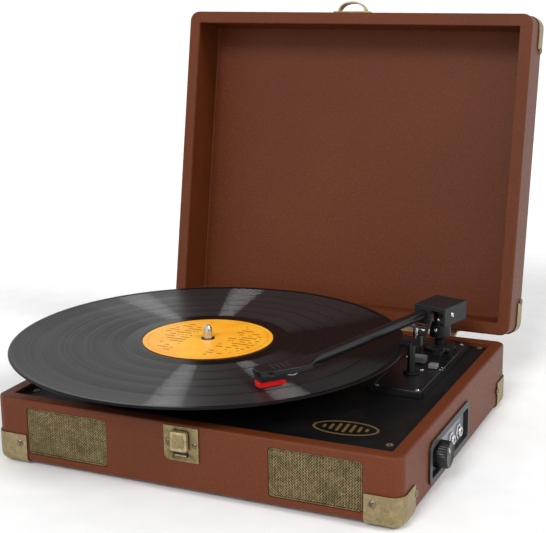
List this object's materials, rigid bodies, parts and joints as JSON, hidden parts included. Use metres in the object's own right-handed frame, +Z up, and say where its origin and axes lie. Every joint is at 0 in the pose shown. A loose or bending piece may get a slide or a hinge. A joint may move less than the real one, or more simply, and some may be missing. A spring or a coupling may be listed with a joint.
{
  "type": "suitcase record player",
  "caption": "Portable record player in a latching suitcase: leatherette case with hinged lid, belt-driven platter, record, tonearm with cue lever, front speakers and side controls.",
  "frame": {"origin": "middle of the case's flat underside; the rubber feet reach 3 mm below it", "axes": "+X towards the control-panel side (right, seen from the front), +Y from the latch to the lid's hinge, +Z up; the lid stands open and the tonearm is on the record"},
  "size_m": [0.3554, 0.3944, 0.3181],
  "materials": {
    "leatherette": "fine-grained brown leatherette over board",
    "brass": "antique brass, mottled",
    "grille_brass": "antique brass, woven pattern",
    "black_plastic": "satin black plastic",
    "deck_black": "matt black paint",
    "rubber": "black rubber",
    "steel": "bright steel",
    "vinyl": "grooved black vinyl",
    "label": "printed paper label",
    "stylus_red": "red moulded plastic",
    "board": "circuit board",
    "panel_grey": "grey panel in a black frame",
    "fibreboard": "fibreboard",
    "switch_grey": "grey plastic"
  },
  "bodies": {
    "case": {"amplifier_board": "board", "arm_rest": "black_plastic", "aux_jack": "steel", "base_bottom": "fibreboard", "base_case": "leatherette", "base_corner_front_left": "brass", "base_corner_front_right": "brass", "base_corner_rear_left": "brass", "base_corner_rear_right": "brass", "bearing_bush": "steel", "control_panel": "panel_grey", "dc_jack": "black_plastic", "deck_plate": "deck_black", "drive_belt": "rubber", "foot_front_left": "rubber", "foot_front_right": "rubber", "foot_rear_left": "rubber", "foot_rear_right": "rubber", "grille_left": "grille_brass", "grille_right": "grille_brass", "handle_bracket_front": "brass", "handle_bracket_rear": "brass", "headphone_jack": "steel", "hinge_lower_left": "brass", "hinge_lower_right": "brass", "latch_plate": "brass", "motor_can": "steel", "speaker_left": "black_plastic", "speaker_right": "black_plastic", "tonearm_plate": "black_plastic", "turret_base": "black_plastic", "volume_pot": "steel"},
    "lid": {"hinge_upper_left": "brass", "hinge_upper_right": "brass", "latch_keeper": "brass", "lid_corner_front_left": "brass", "lid_corner_front_right": "brass", "lid_corner_rear_left": "brass", "lid_corner_rear_right": "brass", "lid_shell": "leatherette"},
    "turntable": {"platter": "black_plastic", "platter_mat": "rubber", "spindle": "steel", "record": "vinyl", "record_label": "label"},
    "pulley": {"motor_pulley": "steel"},
    "yoke": {"arm_yoke": "black_plastic"},
    "arm": {"arm_tube": "black_plastic", "arm_cover": "black_plastic", "counterweight": "steel", "cartridge": "black_plastic", "stylus": "stylus_red"},
    "cue_lever": {"cue_lever": "black_plastic"},
    "cue_lift": {"cue_lift": "black_plastic"},
    "arm_clip": {"arm_clip": "black_plastic"},
    "speed_switch": {"speed_switch": "switch_grey"},
    "autostop_switch": {"autostop_switch": "switch_grey"},
    "volume_knob": {"volume_knob": "black_plastic"},
    "latch_lever": {"latch_lever": "brass"},
    "handle": {"handle": "leatherette"}
  },
  "joints": [
    {"name": "lid_hinge", "type": "hinge", "parent": "case", "child": "lid", "pos_m": [0, 0.1358, 0.0449], "axis": [1, 0, 0], "range_deg": [0, 56]},
    {"name": "platter_spin", "type": "hinge", "parent": "case", "child": "turntable", "pos_m": [-0.0414, -0.013, 0.06], "axis": [0, 0, 1], "continuous": true},
    {"name": "pulley_spin", "type": "hinge", "parent": "case", "child": "pulley", "pos_m": [-0.10375, 0.023, 0.05], "axis": [0, 0, 1], "continuous": true},
    {"name": "arm_swing", "type": "hinge", "parent": "case", "child": "yoke", "pos_m": [0.1115, 0.092, 0.0798], "axis": [0, 0, -1], "range_deg": [-18, 19.7]},
    {"name": "arm_lift", "type": "hinge", "parent": "yoke", "child": "arm", "pos_m": [0.1115, 0.092, 0.0798], "axis": [-0.9677, 0.2521, 0], "range_deg": [0, 3.8]},
    {"name": "cue_lever", "type": "hinge", "parent": "case", "child": "cue_lever", "pos_m": [0.123, 0.072, 0.0545], "axis": [-1, 0, 0], "range_deg": [0, 60]},
    {"name": "cue_lift", "type": "slide", "parent": "case", "child": "cue_lift", "axis": [0, 0, 1], "range_m": [0, 0.0032]},
    {"name": "arm_clip", "type": "hinge", "parent": "case", "child": "arm_clip", "pos_m": [0.1156, 0.0267, 0.0814], "axis": [0, -1, 0], "range_deg": [0, 110]},
    {"name": "speed_switch", "type": "slide", "parent": "case", "child": "speed_switch", "axis": [0, -1, 0], "range_m": [0, 0.008]},
    {"name": "autostop_switch", "type": "slide", "parent": "case", "child": "autostop_switch", "axis": [0, -1, 0], "range_m": [0, 0.004]},
    {"name": "volume_turn", "type": "hinge", "parent": "case", "child": "volume_knob", "pos_m": [0.1525, -0.05, 0.021], "axis": [-1, 0, 0], "range_deg": [0, 300]},
    {"name": "latch_slide", "type": "slide", "parent": "case", "child": "latch_lever", "axis": [0, 0, -1], "range_m": [0, 0.003], "stiffness_N_per_m": 200, "springref_m": -0.002},
    {"name": "handle_swing", "type": "hinge", "parent": "case", "child": "handle", "pos_m": [-0.1603, 0, 0.035], "axis": [0, 1, 0], "range_deg": [0, 95]}
  ],
  "couplings": [
    {"joint": "pulley_spin", "follows": "platter_spin", "ratio": 13},
    {"joint": "arm_lift", "follows": "cue_lever", "ratio": 0.063333},
    {"joint": "cue_lift", "follows": "cue_lever", "m_per_rad": 0.003056}
  ]
}
